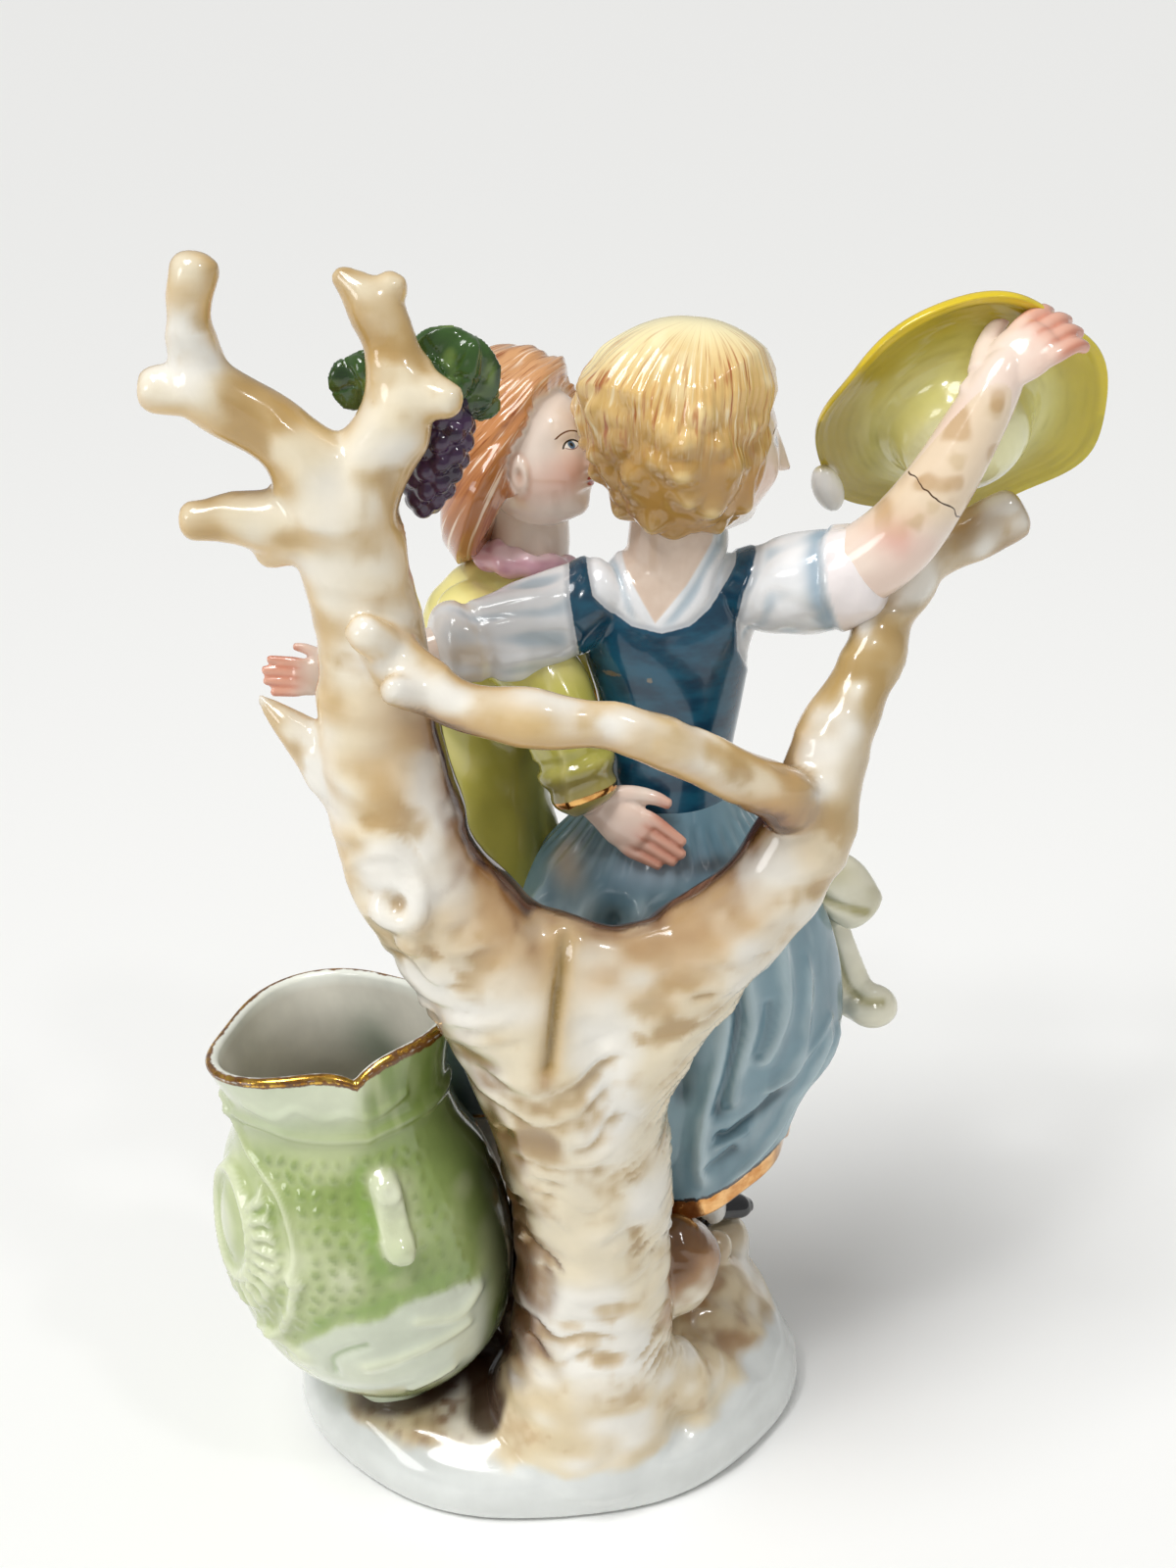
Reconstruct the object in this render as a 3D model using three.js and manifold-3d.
// A porcelain figure group, seen from behind in its usual photograph: a girl in a blue skirt lifts a
// straw hat, a boy in a yellow coat embraces her, and both stand with a spill vase on an oval mound,
// in front of a forked tree. The parts are cast apart, luted together while soft and fired as one
// piece, so the model is one solid.
// Millimetres, +Z up. +Y is the side the figures face and -Y the side of the tree. The origin is the
// centre of the mound's flat underside.
import * as THREE from "three";
import { mergeVertices } from "three/addons/utils/BufferGeometryUtils.js";
import Module from "manifold-3d";

const wasm = await Module();
wasm.setup();

// Driving dimensions
const MOUND = { halfWidth: 52, halfDepth: 41, rim: 11, dome: 9 };
const VASE = { height: 83, wall: 2.4, floor: 5, bellyWidth: 28, neckWidth: 21 };
const HAT = { radius: 25.4, crown: 12.5, crownHeight: 12, thickness: 2.2 };
const HEAD = { girl: 17.2, boy: 14.6 };

const GLAZE = new THREE.MeshStandardMaterial({
  color: 0xe9e2d0,
  roughness: 0.12,
  metalness: 0,
});

const point = (p) => new THREE.Vector3(p[0], p[1], p[2]);
const bell = (x, width) => Math.exp(-((x / width) ** 2));

// A closed skin: place(turn, along) gives the point for a turn round the piece and a way along it,
// both from 0 to 1. The rows at 0 and 1 are single points.
function closedGrid(sides, rows, place) {
  const geometry = new THREE.SphereGeometry(1, sides, rows);
  const position = geometry.getAttribute("position");
  for (let i = 0; i < position.count; i++) {
    const row = Math.floor(i / (sides + 1));
    const column = i % (sides + 1);
    const p = place((column % sides) / sides, row / rows);
    position.setXYZ(i, p.x, p.y, p.z);
  }
  return geometry;
}

// A geometry as a solid for joining and cutting, turned inside in if its rings ran the other way.
function solidOf(geometry) {
  const bare = geometry.clone();
  bare.deleteAttribute("normal");
  bare.deleteAttribute("uv");
  const merged = mergeVertices(bare, 1e-4);
  const triVerts = new Uint32Array(merged.index.array);
  const vertProperties = new Float32Array(merged.attributes.position.array);
  const mesh = () => new wasm.Mesh({ numProp: 3, vertProperties, triVerts });
  const solid = new wasm.Manifold(mesh());
  if (solid.volume() > 0) return solid;
  for (let i = 0; i < triVerts.length; i += 3) {
    [triVerts[i + 1], triVerts[i + 2]] = [triVerts[i + 2], triVerts[i + 1]];
  }
  return new wasm.Manifold(mesh());
}

// A limb with blunt domed ends along a smooth line: path holds [x, y, z, radius], and flat is its
// thickness towards `across`, as a share of its width.
function limb(path, { sides = 7, steps = 4, flat = 1, across = [0, 1, 0] } = {}) {
  const line = new THREE.CatmullRomCurve3(path.map(point), false, "catmullrom");
  const girth = new THREE.CatmullRomCurve3(
    path.map((p) => new THREE.Vector3(p[3], 0, 0)),
    false,
    "catmullrom",
  );
  const rows = steps + 2;
  const depthWay = point(across);
  return closedGrid(sides, rows, (turn, along) => {
    const row = Math.round(along * rows);
    const t = THREE.MathUtils.clamp((row - 1) / steps, 0, 1);
    const tangent = line.getTangent(t);
    const side = tangent.clone().cross(depthWay).normalize();
    const depth = side.clone().cross(tangent).normalize();
    const radius = girth.getPoint(t).x;
    const angle = turn * 2 * Math.PI;
    const centre = line.getPoint(t);
    if (row === 0) return centre.addScaledVector(tangent, -0.45 * radius);
    if (row === rows) return centre.addScaledVector(tangent, 0.45 * radius);
    return centre
      .addScaledVector(side, radius * Math.cos(angle))
      .addScaledVector(depth, radius * flat * Math.sin(angle));
  });
}

// A stack of level rings, from the top down: rings holds [x, y, z, half width, half depth]. ripple
// gives a share of the ring's size for a turn and a way down.
function barrel(rings, { sides = 12, steps = 7, ripple = () => 1 } = {}) {
  const places = new THREE.CatmullRomCurve3(rings.map(point), false, "catmullrom");
  const sizes = new THREE.CatmullRomCurve3(
    rings.map((r) => new THREE.Vector3(r[3], r[4], 0)),
    false,
    "catmullrom",
  );
  const rows = steps + 2;
  return closedGrid(sides, rows, (turn, along) => {
    const row = Math.round(along * rows);
    const t = THREE.MathUtils.clamp((row - 1) / steps, 0, 1);
    const centre = places.getPoint(t);
    if (row === 0 || row === rows) return centre;
    const size = sizes.getPoint(t).multiplyScalar(ripple(turn, t));
    const angle = turn * 2 * Math.PI;
    return centre.add(point([size.x * Math.cos(angle), size.y * Math.sin(angle), 0]));
  });
}

// An egg shape with its three half sizes, turned about X, then Y, then Z, in degrees. ripple swells it
// between its poles by a share that goes with the turn and the way down.
function egg(centre, sizes, { sides = 6, rows = 4, turned = [0, 0, 0], ripple = () => 0 } = {}) {
  const geometry = closedGrid(sides, rows, (turn, along) => {
    const angle = turn * 2 * Math.PI;
    const swell = 1 + ripple(turn, along) * Math.sin(along * Math.PI);
    const ring = Math.sin(along * Math.PI) * swell;
    return point([
      sizes[0] * ring * Math.cos(angle),
      sizes[1] * ring * Math.sin(angle),
      sizes[2] * Math.cos(along * Math.PI) * swell,
    ]);
  });
  const [x, y, z] = turned.map(THREE.MathUtils.degToRad);
  return geometry.rotateX(x).rotateY(y).rotateZ(z).translate(...centre);
}

// A hand from the wrist as one skin: a flat palm that splits into four finger ridges, and a thumb.
// reach is the way the fingers point, back the way the back of the hand faces, and curl bends the
// fingers towards the palm.
function hand(wrist, reach, back, { size = 1, curl = 0, thumb = 1 } = {}) {
  const ahead = point(reach).normalize();
  const side = ahead.clone().cross(point(back)).normalize();
  const up = side.clone().cross(ahead).normalize();
  const at = (a, s, u) =>
    point(wrist)
      .addScaledVector(ahead, a * size)
      .addScaledVector(side, s * size)
      .addScaledVector(up, u * size);
  // Each row: way ahead, half width, half thickness, depth of the grooves between the fingers.
  const profile = [
    [-1, 0, 0, 0],
    [0.8, 2.4, 1.9, 0],
    [7, 3.8, 1.7, 0.1],
    [10.4, 3.8, 1.3, 0.7],
    [13.4, 3.3, 0.9, 0.7],
    [11, 0, 0, 0],
  ];
  const rows = profile.length - 1;
  const fingers = closedGrid(16, rows, (turn, along) => {
    const row = Math.round(along * rows);
    const [a, width, thick, groove] = profile[row];
    const column = Math.round(turn * 16);
    const across = column <= 8 ? 1 - column / 4 : column / 4 - 3;
    const round = Math.sqrt(1 - across ** 2);
    const between = column % 2 === 0 ? 1 - groove : 1;
    const tip = row === rows - 1 && column % 2 === 0 ? -2.6 : 0;
    const bend = curl * Math.max(0, (a - 7) / 6.4) ** 2;
    const face = column < 8 ? 1 : -1;
    return at(
      a + tip - 1.6 * bend,
      across * width,
      face * round * thick * between * (column % 8 === 0 ? 0 : 1) - 3.6 * bend,
    );
  });
  const thumbPath = [
    [...at(2, thumb * 2.4, 0).toArray(), 1.3 * size],
    [...at(5, thumb * 4.7, -curl).toArray(), 1.2 * size],
    [...at(8.4, thumb * 5.5, -1.6 * curl).toArray(), 0.9 * size],
  ];
  return [fingers, limb(thumbPath, { sides: 5, steps: 1, across: up.toArray() })];
}

// The mound: an oval foot with a low wall, a domed top and a hump under the girl's feet.
function moundHeight(x, y) {
  const reach = Math.hypot(x / MOUND.halfWidth, y / MOUND.halfDepth);
  const dome = MOUND.dome * (1 - reach ** 2);
  const hump = 14 * bell(x - 32, 16) * bell(y - 8, 23);
  return MOUND.rim + dome + hump;
}

function mound() {
  const topRows = 5;
  const rows = topRows + 4;
  const skin = closedGrid(22, rows, (turn, along) => {
    const row = Math.round(along * rows);
    const angle = turn * 2 * Math.PI;
    const edge = 1 + 0.012 * Math.cos(3 * angle) + 0.01 * Math.cos(7 * angle + 1);
    const wall = [1, 1.015, 0.985];
    const share = row <= topRows ? (0.97 * row) / topRows : (wall[row - topRows - 1] ?? 0);
    const x = MOUND.halfWidth * share * Math.cos(angle) * edge;
    const y = MOUND.halfDepth * share * Math.sin(angle) * edge;
    if (row <= topRows) return point([x, y, moundHeight(x, y)]);
    return point([x, y, row === topRows + 1 ? MOUND.rim * 0.82 : row === topRows + 2 ? 4 : 0]);
  });
  const stoneTops = [
    [26, -14, 40, 9, 7, 12],
    [38, 5, 29.4, 4.6, 3.6, 4.2],
    [38, 16, 23, 9, 8, 6.6],
    [-41, 10, 13, 6, 6, 5],
    [6, 31, 14, 9, 6, 6],
  ];
  const stones = stoneTops.map(([x, y, z, a, b, c]) => egg([x, y, z], [a, b, c], { sides: 7, rows: 4 }));
  return [skin, ...stones];
}

// The tree: a trunk that forks into a left limb with two forks and a right limb under the hat, with
// a bridge between them, sawn stubs, a thorn and a knot.
function tree() {
  const trunk = [
    [8, -22, 8, 21],
    [9, -23, 20, 17.5],
    [9.8, -23.5, 36, 15.6],
    [9.6, -24, 57, 14.8],
    [8.4, -25, 76, 15.6],
    [5, -27, 95, 16.6],
    [-2, -29, 111, 15],
    [-11.4, -31, 126.4, 12.6],
    [-19.3, -32, 139.2, 11.4],
    [-23.3, -32, 155.4, 10.6],
    [-24.7, -31, 172.1, 9.3],
    [-25.9, -31, 186, 8.3],
    [-27.6, -31, 197.8, 8.9],
    [-28.8, -31, 205, 7.6],
  ];
  const rightLimb = [
    [8, -26, 88, 13],
    [16, -27, 105, 14.6],
    [29.3, -27, 120.2, 11.8],
    [40, -26, 131.3, 9.8],
    [45.3, -24, 140.6, 8.8],
    [48.1, -21, 150.3, 7.6],
    [52.5, -16, 159.9, 6.3],
    [57, -10, 169.1, 5.5],
    [61.4, -4, 176.7, 5.1],
    [67.6, 2, 182.7, 4.8],
    [77.2, 5, 186.8, 4.4],
    [83.5, 6, 190.6, 3.2],
  ];
  const bridge = [
    [-23, -36, 181, 4.6],
    [-16.6, -40, 176.5, 4.3],
    [-9, -42, 173, 4.1],
    [2, -42, 170.7, 3.9],
    [12.7, -41, 169.3, 3.9],
    [22.8, -38, 164.6, 4.2],
    [32.5, -34, 158.6, 4.7],
    [43, -28, 150.8, 5.6],
  ];
  const saddle = [
    [-4, -29, 121, 12],
    [13, -28.5, 115.5, 12.4],
    [30, -27, 119, 11.4],
  ];
  const leftFork = [
    [-28, -31, 201, 8],
    [-34.3, -32, 209.5, 6.1],
    [-40, -33, 214.6, 5.2],
    [-46.1, -34, 219.7, 4.9],
    [-47.9, -35, 225.3, 3.7],
    [-47.2, -36, 232.3, 3.1],
    [-46.3, -36, 238.4, 3.1],
  ];
  const rightFork = [
    [-27, -31, 201, 8],
    [-21.5, -30, 211, 6.2],
    [-19.1, -29, 219, 5.2],
    [-20.3, -28, 226, 4.1],
    [-23.2, -28, 231, 3.7],
    [-27.5, -28, 235.4, 1.9],
  ];
  const stubs = [
    [[-46, -34, 220, 4], [-55, -35, 220, 2.9]],
    [[-22, -28, 230, 2.9], [-19.2, -27, 234.2, 2.2]],
    [[-18, -30, 219, 4.6], [-10.8, -33, 217.4, 2.7]],
    [[-32, -31, 198.6, 5.8], [-43.3, -31, 199.8, 4.7], [-51.5, -32, 199.6, 3.1]],
    [[-34, -31, 198, 5], [-41, -30, 193.4, 2.6]],
    [[-28, -32, 152, 5.4], [-37.8, -30, 163.2, 3.6], [-44.3, -28, 169.4, 0.9]],
    [[-20, -37, 179, 3.6], [-25, -42, 185.4, 2.5]],
    [[-15, -41, 175, 3.3], [-21, -46, 177, 2.3]],
  ];
  const knot = new THREE.TorusGeometry(4, 1.9, 4, 9)
    .rotateX(THREE.MathUtils.degToRad(75))
    .rotateZ(THREE.MathUtils.degToRad(-20))
    .translate(-21.5, -42, 138.5);
  const solids = [
    limb(trunk, { sides: 10, steps: 17, flat: 0.86 }),
    limb(rightLimb, { sides: 8, steps: 12, flat: 0.9 }),
    limb(saddle, { steps: 2, flat: 0.8 }),
    limb(bridge, { sides: 6, steps: 9 }),
    limb(leftFork, { steps: 8 }),
    limb(rightFork, { steps: 7 }),
    ...stubs.map((path) => limb(path, { sides: 6, steps: path.length - 1 })),
    knot,
  ];
  return solids;
}

// The tree's crotch has a narrow slit down its back.
const slit = () => egg([3.8, -43.5, 119], [1.3, 4, 13], { turned: [0, 10, 0] });

// The vase leans a little to the left and its rim is pinched. A profile holds heights above the foot
// and radii there.
function vaseSkin(profile) {
  const rows = profile.length - 1;
  return closedGrid(20, rows, (turn, along) => {
    const [height, width] = profile[Math.round(along * rows)];
    const angle = turn * 2 * Math.PI;
    const share = height / VASE.height;
    const lip = share ** 6;
    const pinch = 1 + 0.09 * lip * Math.cos(3 * angle + 0.6);
    const lift = 3.2 * lip * Math.min(width / 10, 1) * Math.cos(angle + 0.35);
    return point([
      -29.5 - 10.5 * share + width * pinch * Math.cos(angle),
      -16 + 2 * share + width * pinch * 0.92 * Math.sin(angle),
      14.5 + height + lift,
    ]);
  });
}

const vaseProfile = [
  [0, 9.6],
  [3.4, 10.6],
  [9, 17.2],
  [18, 24],
  [29, 27.3],
  [42, VASE.bellyWidth],
  [54, 25.8],
  [64, VASE.neckWidth + 0.6],
  [73, 20.6],
  [VASE.height, 22.2],
];

const vase = () => vaseSkin([[0, 0], ...vaseProfile, [VASE.height, 0]]);

// The hollow goes down to the vase's floor and runs out past the rim.
function vaseHollow() {
  const inside = vaseProfile
    .filter(([height]) => height > VASE.floor)
    .map(([height, radius]) => [height, radius - VASE.wall]);
  const floor = [[VASE.floor, 0], [VASE.floor, 9]];
  const beyond = [[VASE.height + 4, VASE.neckWidth - VASE.wall + 1.6], [VASE.height + 4, 0]];
  return vaseSkin([...floor, ...inside, ...beyond]);
}

// What is raised on the vase: an oval medallion to the left, the shell below it, and a strap lug with
// a blunt nub at each end.
function vaseRelief() {
  const medallion = new THREE.TorusGeometry(7, 1.7, 4, 12)
    .scale(0.85, 1.25, 1)
    .rotateY(THREE.MathUtils.degToRad(-90))
    .rotateZ(THREE.MathUtils.degToRad(28))
    .translate(-57.3, -25.9, 63);
  const shell = egg([-50.5, -31.6, 51], [4.5, 8.5, 9.5], {
    sides: 14,
    turned: [0, -22, 48],
    ripple: (turn, down) => 0.12 * down * Math.cos(7 * 2 * Math.PI * turn),
  });
  const lug = limb([[-27.5, -33, 77.6, 3.2], [-26.4, -35.6, 70.6, 2.6], [-25.4, -37.6, 63.6, 3.2]], {
    sides: 6,
    flat: 0.8,
  });
  return [medallion, shell, lug];
}

// A head: hair with lumpy locks, and a face set into it with a nose. faceTurn is the compass way of
// the face, in degrees from +X towards +Y, and nod tips it up.
function head(centre, size, faceTurn, nod, locks) {
  const turn = THREE.MathUtils.degToRad(faceTurn);
  const lift = THREE.MathUtils.degToRad(nod);
  const ahead = point([Math.cos(turn) * Math.cos(lift), Math.sin(turn) * Math.cos(lift), Math.sin(lift)]);
  const side = point([-Math.sin(turn), Math.cos(turn), 0]);
  const up = ahead.clone().cross(side);
  const at = (a, u) => point(centre).addScaledVector(ahead, a * size).addScaledVector(up, u * size).toArray();
  const hair = egg(at(-0.08, 0.04), [size, size * 0.96, size * 1.06], {
    sides: 14,
    rows: 8,
    turned: [0, -nod, faceTurn],
    ripple: (round, down) => {
      const wave = Math.cos(locks * 2 * Math.PI * round + 9 * down);
      const lower = THREE.MathUtils.smoothstep(down, 0.3, 0.7);
      return 0.07 * lower * wave + 0.03 * Math.cos(17 * down);
    },
  });
  const face = egg(at(0.3, -0.14), [size * 0.74, size * 0.7, size * 0.9], {
    sides: 10,
    rows: 7,
    turned: [0, -nod, faceTurn],
    ripple: (round, down) => 0.22 * bell(down - 0.78, 0.09) * bell(Math.min(round, 1 - round), 0.09),
  });
  const nose = limb([[...at(0.95, 0.1), size * 0.07], [...at(1.14, -0.2), size * 0.11]], {
    sides: 4,
    steps: 1,
  });
  return [hair, face, nose];
}

// The girl: bodice, shirt sleeves, bare forearms, hands, skirt in folds, apron, sash bow and shoes.
function girl() {
  const bodice = barrel(
    [
      [24.2, 4, 185, 7.4, 6.8],
      [23.6, 3.4, 180.5, 11.5, 8],
      [23.2, 3, 176, 15.4, 9],
      [22.8, 2, 168, 15, 9.8],
      [23.6, 1, 157, 12.6, 9.2],
      [23.3, 0.5, 145, 11.2, 9],
      [23, 1, 136, 12.5, 10.5],
    ],
  );
  const neck = limb([[24.2, 4, 178, 7.6], [24, 4.5, 190, 7.2]], { sides: 8, steps: 1 });
  const folds = 8;
  const skirt = barrel(
    [
      [23.2, 1, 141, 11.5, 9.6],
      [23, 1.5, 133, 17, 13.5],
      [23.3, 2.5, 124, 24.5, 18],
      [24.5, 3.5, 113, 29.8, 20.5],
      [27.2, 4.5, 99, 31, 21.5],
      [29, 5.5, 85, 29.6, 21.5],
      [28.2, 6.5, 71, 25.2, 20.4],
      [27.8, 7.5, 58, 23.2, 19.6],
      [27.6, 8, 49.5, 22.6, 19.4],
    ],
    {
      sides: 32,
      steps: 8,
      ripple: (turn, down) => {
        const fold = Math.cos(folds * 2 * Math.PI * turn + 1.6 * down * Math.PI);
        return 1 + 0.055 * down * (fold - 0.4);
      },
    },
  );
  const leftSleeve = limb(
    [
      [11, 1.5, 177, 6.4],
      [4, -1.5, 174, 8],
      [-4.5, -5, 171.3, 8],
      [-11, -7.5, 171, 6.8],
      [-14.5, -9, 171, 6.6],
    ],
    { sides: 8, steps: 4 },
  );
  const leftForearm = limb([[-13, -8.6, 171, 4.4], [-24, -10.5, 168, 4], [-34, -12, 165.6, 2.8]], {
    sides: 6,
    steps: 2,
  });
  const rightSleeve = limb(
    [
      [35, 1.5, 177.5, 6.4],
      [42, -1, 178.6, 8.2],
      [49, -4, 180.6, 8.6],
      [55, -6, 183, 7.6],
    ],
    { sides: 8 },
  );
  const rightForearm = limb(
    [
      [53, -6, 182.6, 7],
      [60.4, -8, 189.3, 6.8],
      [67.1, -7, 198.2, 5.6],
      [74.1, -4.5, 208, 4.5],
      [80, 0, 215.6, 3.7],
      [83.4, 3, 219, 3.6],
    ],
    { steps: 5 },
  );
  const leftHand = hand([-33, -12, 165.8], [-1, 0, 0.05], [0, -1, 0.3], { size: 0.95 });
  const rightHand = hand([82.3, 2.3, 218.2], [0.75, 0.45, 0.5], [-0.2, -0.8, 0.5], {
    size: 0.85,
    curl: 0.9,
    thumb: -1,
  });
  const apron = barrel(
    [
      [26, 12, 139, 9, 2.6],
      [27, 18, 126, 14, 4.6],
      [31, 21.6, 108, 20, 5.4],
      [36, 23, 92, 22.5, 5],
      [37, 24.6, 79, 19, 3.6],
    ],
    { sides: 10, steps: 4 },
  );
  const sash = [
    limb([[50, 9, 118, 4.6], [57.5, 7, 115.4, 6.2], [63, 5.5, 112, 4.4]], { sides: 6, steps: 3, flat: 0.55 }),
    limb([[52, 10, 114, 4], [56, 9, 104, 4.2], [59, 9, 94, 4], [61.5, 9, 87.5, 3.6], [66, 8.5, 86.5, 3.8]], {
      sides: 6,
      flat: 0.5,
      steps: 5,
    }),
  ];
  const shoes = [
    limb([[35, 14, 32.6, 3.8], [42.4, 17, 31.2, 3.2]], { sides: 6, steps: 2, flat: 0.8, across: [0, 0, 1] }),
    limb([[20, 19, 26, 4.2], [19, 30.5, 21.2, 3.4]], { sides: 6, steps: 2, flat: 0.8, across: [0, 0, 1] }),
  ];
  const ankles = [
    limb([[33, 10, 54, 5], [35.6, 13, 32.5, 3.2]], { steps: 1 }),
    limb([[24, 12, 54, 5], [20.4, 18, 27, 3.3]], { steps: 1 }),
  ];
  return [
    bodice,
    neck,
    skirt,
    ...ankles,
    leftSleeve,
    leftForearm,
    rightSleeve,
    rightForearm,
    ...leftHand,
    ...rightHand,
    apron,
    ...sash,
    ...shoes,
    ...head([24.4, 4, 204.6], HEAD.girl, 28, -4, 6),
  ];
}

// The boy: coat with a flared skirt, neckerchief, arms round the girl, breeches, stockings, shoes.
function boy() {
  const coat = barrel(
    [
      [-3.5, 15.5, 180, 6.5, 6.2],
      [-6, 14.5, 175.4, 10.6, 8.4],
      [-8, 13.5, 169, 13, 10],
      [-10, 12.4, 156, 13.6, 10.8],
      [-10.6, 11.4, 141, 12.4, 10.4],
      [-10.4, 11, 130, 12.6, 10.6],
      [-10, 11.5, 118, 15.4, 12.6],
      [-10, 12, 112, 16.4, 13.4],
    ],
    {
      sides: 14,
      ripple: (turn, down) => 1 + 0.05 * down ** 3 * Math.cos(7 * 2 * Math.PI * turn),
    },
  );
  const neck = limb([[-4.5, 15, 174, 6.6], [-2.5, 16, 188, 6.2]], { steps: 1 });
  const scarf = new THREE.TorusGeometry(7.2, 2.2, 4, 9)
    .rotateX(THREE.MathUtils.degToRad(-8))
    .rotateY(THREE.MathUtils.degToRad(14))
    .translate(-2.6, 15, 178.6);
  const rightArm = limb(
    [
      [-13.5, 8.5, 170.5, 6.6],
      [-7, 1.5, 168, 6.8],
      [0.5, -4, 162.6, 6.6],
      [5, -9.5, 155, 6],
      [9.4, -11.4, 146.4, 5.4],
    ],
    { steps: 5 },
  );
  const rightHand = hand([10.4, -11.4, 144.8], [0.78, -0.05, -0.56], [0, -1, 0.1], { size: 1.12, thumb: -1 });
  const leftArm = limb(
    [
      [-8, 23, 170.5, 6.4],
      [-4, 31, 162, 6.2],
      [3, 32, 153, 5.6],
      [13, 26, 149, 4.6],
    ],
  );
  const leftHand = hand([14.5, 24.5, 148.4], [0.85, -0.5, -0.1], [0.2, 0.9, 0.3], { size: 0.95 });
  const legs = [
    [
      [-15, 9, 114, 8.6],
      [-15, 7, 96, 8],
      [-14.4, 7, 78, 7],
      [-13.4, 9, 66, 5.6],
      [-12.6, 9.5, 52, 5.2],
      [-12, 9, 34, 3.6],
      [-12, 9, 24, 3.6],
    ],
    [
      [-6, 17, 114, 8.6],
      [-5, 20, 96, 8],
      [-3.4, 21.4, 78, 7],
      [-3, 21, 66, 5.6],
      [-3, 20, 52, 5.2],
      [-3, 19, 34, 3.6],
      [-3, 19, 24, 3.6],
    ],
  ].map((path) => limb(path, { sides: 6, steps: 5 }));
  const shoes = [
    limb([[-12, 9, 22, 4], [-15, 21, 18.8, 3.3]], { sides: 6, steps: 2, flat: 0.8, across: [0, 0, 1] }),
    limb([[-3, 18, 21.2, 4], [-4, 30, 17.2, 3.3]], { sides: 6, steps: 2, flat: 0.8, across: [0, 0, 1] }),
  ];
  return [
    coat,
    neck,
    scarf,
    rightArm,
    ...rightHand,
    leftArm,
    ...leftHand,
    ...legs,
    ...shoes,
    ...head([-4.2, 16.2, 199.4], HEAD.boy, 2, 12, 5),
  ];
}

// The straw hat, held crown towards the back and a little down: a waved brim with a domed crown.
function hat() {
  const profile = [
    [0, HAT.crownHeight],
    [HAT.crown * 0.55, HAT.crownHeight * 0.9],
    [HAT.crown * 0.9, HAT.crownHeight * 0.6],
    [HAT.crown, HAT.crownHeight * 0.2],
    [HAT.crown * 1.3, 0.4],
    [HAT.radius * 0.8, -0.2],
    [HAT.radius, 0.9],
    [HAT.radius, 0.9 - HAT.thickness],
    [HAT.radius * 0.8, -0.2 - HAT.thickness],
    [HAT.crown * 1.1, -HAT.thickness],
    [HAT.crown * 0.85, HAT.crownHeight * 0.2],
    [HAT.crown * 0.6, HAT.crownHeight * 0.62],
    [0, HAT.crownHeight * 0.8],
  ];
  const rows = profile.length - 1;
  const skin = closedGrid(18, rows, (turn, along) => {
    const [radius, height] = profile[Math.round(along * rows)];
    const angle = turn * 2 * Math.PI;
    const brim = THREE.MathUtils.smoothstep(radius, HAT.crown, HAT.radius);
    const wave = 1.6 * brim * Math.cos(2 * angle + 0.6) + 0.7 * brim * Math.cos(5 * angle);
    const edge = 1 + brim * (0.03 * Math.cos(3 * angle) + 0.02 * Math.cos(7 * angle + 2));
    return point([radius * edge * Math.cos(angle), radius * edge * Math.sin(angle), height + wave]);
  });
  // +Z of the hat turns to point back at the viewer and a little down.
  const facing = new THREE.Quaternion().setFromUnitVectors(
    point([0, 0, 1]),
    point([0.1, -0.85, -0.51]).normalize(),
  );
  skin.applyQuaternion(facing).translate(73.4, 13.5, 204.8);
  const ribbon = egg([51.6, 15, 195.4], [3, 2.6, 4]);
  return [skin, ribbon];
}

// Grapes under vine leaves, luted to the front of the right fork.
function grapes() {
  const berries = 5;
  const bunch = egg([-12.2, -20, 206.4], [5.2, 4.8, 9.8], {
    sides: 2 * berries,
    rows: 7,
    turned: [0, 14, 0],
    ripple: (turn, down) => {
      const bump = Math.cos(berries * 2 * Math.PI * turn) * Math.cos(7 * Math.PI * down);
      return 0.14 * bump - 0.35 * (down - 0.4);
    },
  });
  const leaf = (centre, size, turned) =>
    egg(centre, [size, size * 0.5, size * 0.85], {
      sides: 10,
      turned,
      ripple: (turn) => 0.16 * Math.cos(5 * 2 * Math.PI * turn),
    });
  const leaves = [
    leaf([-11, -19, 219.5], 7.2, [0, 30, 0]),
    leaf([-6.6, -18.4, 214.6], 4.8, [0, 60, 20]),
    leaf([-25.4, -24, 219], 5, [0, -20, 0]),
  ];
  const stem = limb([[-20, -26, 220, 3], [-12, -19.5, 218, 3.4]], { sides: 6, steps: 1 });
  return [bunch, ...leaves, stem];
}

// Everything joined into the one fired piece, hollowed in the vase and cut flat below.
function firedPiece() {
  const pieces = [mound(), tree(), vase(), vaseRelief(), girl(), boy(), hat(), grapes()].flat();
  const whole = pieces.map(solidOf).reduce((joined, next) => joined.add(next));
  const under = new THREE.BoxGeometry(200, 200, 60).translate(0, 0, -30);
  return [vaseHollow(), slit(), under].map(solidOf).reduce((left, tool) => left.subtract(tool), whole);
}

function geometryOf(solid) {
  const mesh = solid.getMesh();
  const geometry = new THREE.BufferGeometry();
  const positions = new Float32Array(mesh.numVert * 3);
  for (let i = 0; i < mesh.numVert; i++) {
    positions.set(mesh.vertProperties.subarray(i * mesh.numProp, i * mesh.numProp + 3), i * 3);
  }
  geometry.setAttribute("position", new THREE.BufferAttribute(positions, 3));
  geometry.setIndex(new THREE.BufferAttribute(mesh.triVerts, 1));
  geometry.computeVertexNormals();
  return geometry;
}

const figureGroup = new THREE.Mesh(geometryOf(firedPiece()), GLAZE);
figureGroup.name = "figure_group";

const group = new THREE.Group();
group.add(figureGroup);

export default group;
